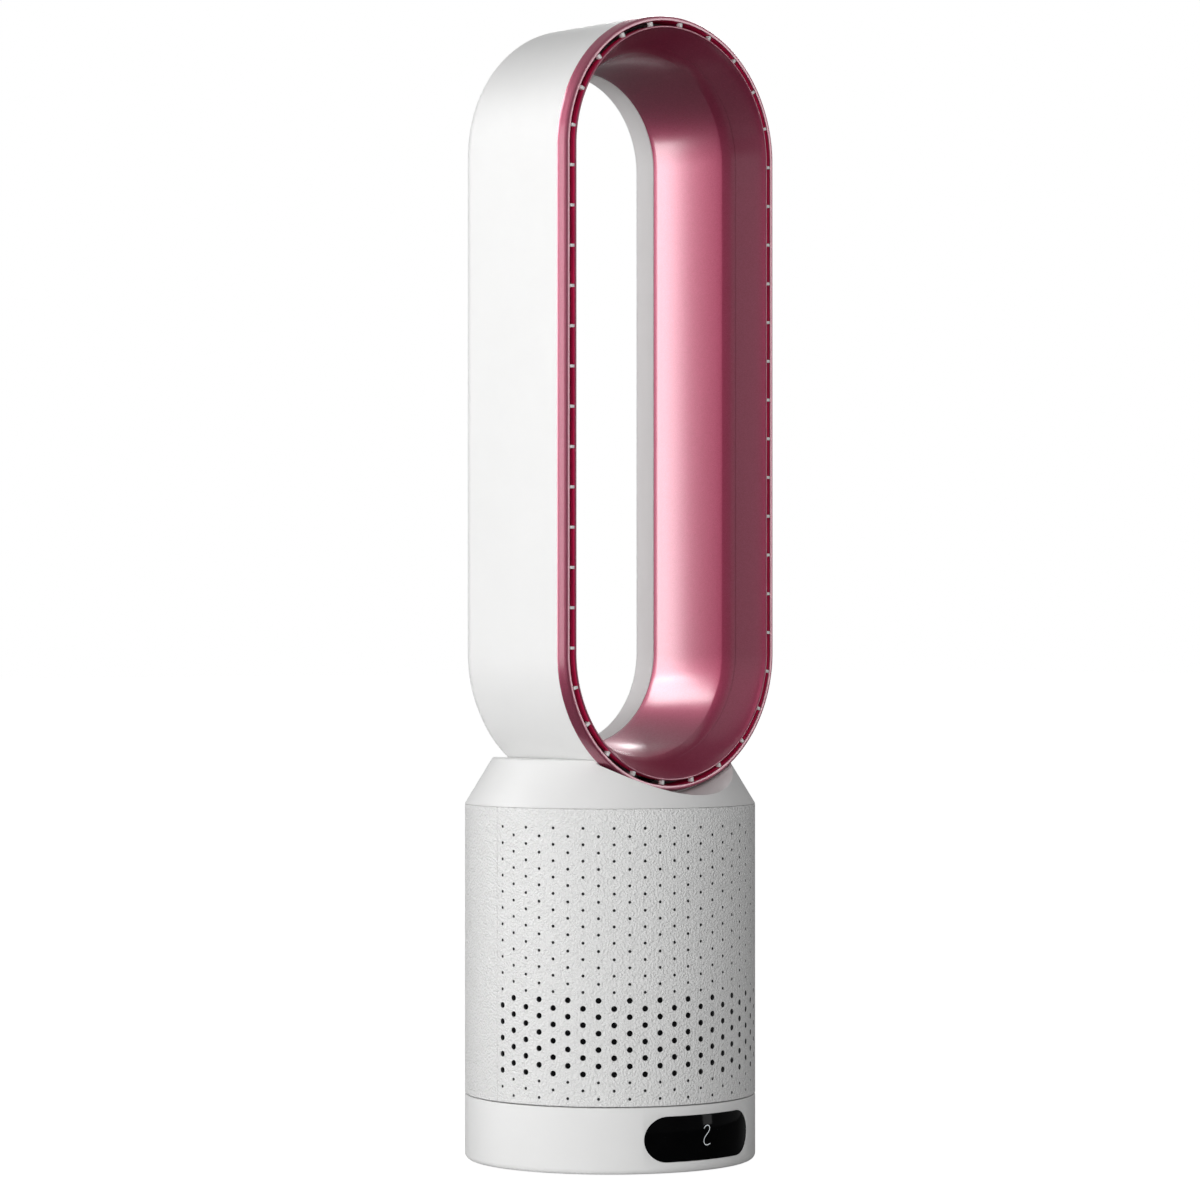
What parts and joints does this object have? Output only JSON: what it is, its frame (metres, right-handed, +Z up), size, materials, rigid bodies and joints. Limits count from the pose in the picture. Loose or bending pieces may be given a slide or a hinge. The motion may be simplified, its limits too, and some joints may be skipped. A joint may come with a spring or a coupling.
{
  "type": "bladeless tower fan",
  "caption": "Bladeless tower fan: a tall racetrack air loop with a rose metallic front on a round perforated body that turns on a weighted base with a touch display.",
  "frame": {"origin": "on the body's axis at floor level, below the middle of the base", "axes": "+Z up the fan's height, -Y out of the loop's front, +X to the fan's left"},
  "size_m": [0.24, 0.24, 0.9404],
  "materials": {
    "white_plastic": "fine satin white moulded plastic",
    "rose_metallic": "metallic rose paint with a satin sheen over plastic",
    "black_gloss": "piano black gloss",
    "dark_mesh": "fine black mesh",
    "grey_plastic": "unpainted grey moulding",
    "dark_plastic": "unpainted dark moulding",
    "natural_plastic": "natural acetal",
    "black_rubber": "matt black rubber",
    "steel": "zinc-plated steel",
    "cast_iron": "bare casting",
    "copper": "enamelled copper winding",
    "green_board": "green solder mask",
    "white_digits": "diffusing white digits in a dark frame"
  },
  "bodies": {
    "base": {"base_plate": "dark_plastic", "rubber_foot_1": "black_rubber", "rubber_foot_2": "black_rubber", "rubber_foot_3": "black_rubber", "rubber_foot_4": "black_rubber", "ballast_weight": "cast_iron", "control_ring": "white_plastic", "display_lens": "black_gloss", "display_board": "green_board", "digit_module": "white_digits", "infrared_receiver": "black_gloss", "power_inlet": "dark_plastic", "wear_ring": "natural_plastic", "stepper_motor": "steel"},
    "upper": {"turntable_plate": "grey_plastic", "sector_gear": "natural_plastic", "driver_board": "green_board", "front_grille": "white_plastic", "rear_cover": "white_plastic", "intake_mesh": "dark_mesh", "isolator_ring": "black_rubber", "impeller_housing": "grey_plastic", "diffuser": "dark_plastic", "motor_can": "steel", "motor_cap": "steel", "motor_stator": "copper", "lower_bearing": "steel", "upper_bearing": "steel", "lower_motor_mount": "black_rubber", "upper_motor_mount": "black_rubber", "neck_duct": "grey_plastic", "neck_gasket": "black_rubber", "shoulder_housing": "white_plastic", "loop_rear_shell": "white_plastic", "loop_inner_liner": "rose_metallic", "front_bezel_ring": "rose_metallic", "front_flare_ring": "rose_metallic"},
    "impeller": {"impeller": "dark_plastic", "impeller_nut": "steel", "impeller_shaft": "steel", "motor_rotor": "steel"},
    "pinion": {"drive_pinion": "natural_plastic", "stepper_shaft": "steel"}
  },
  "joints": [
    {"name": "oscillation", "type": "hinge", "parent": "base", "child": "upper", "pos_m": [0, 0, 0.0565], "axis": [0, 0, 1], "range_deg": [-40, 40]},
    {"name": "impeller_spin", "type": "hinge", "parent": "upper", "child": "impeller", "pos_m": [0, 0, 0.141], "axis": [0, 0, 1], "continuous": true},
    {"name": "pinion_spin", "type": "hinge", "parent": "base", "child": "pinion", "pos_m": [0, 0.0675, 0.0487], "axis": [0, 0, 1], "range_deg": [-160, 160]}
  ],
  "couplings": [
    {"joint": "pinion_spin", "follows": "oscillation", "ratio": -4}
  ]
}
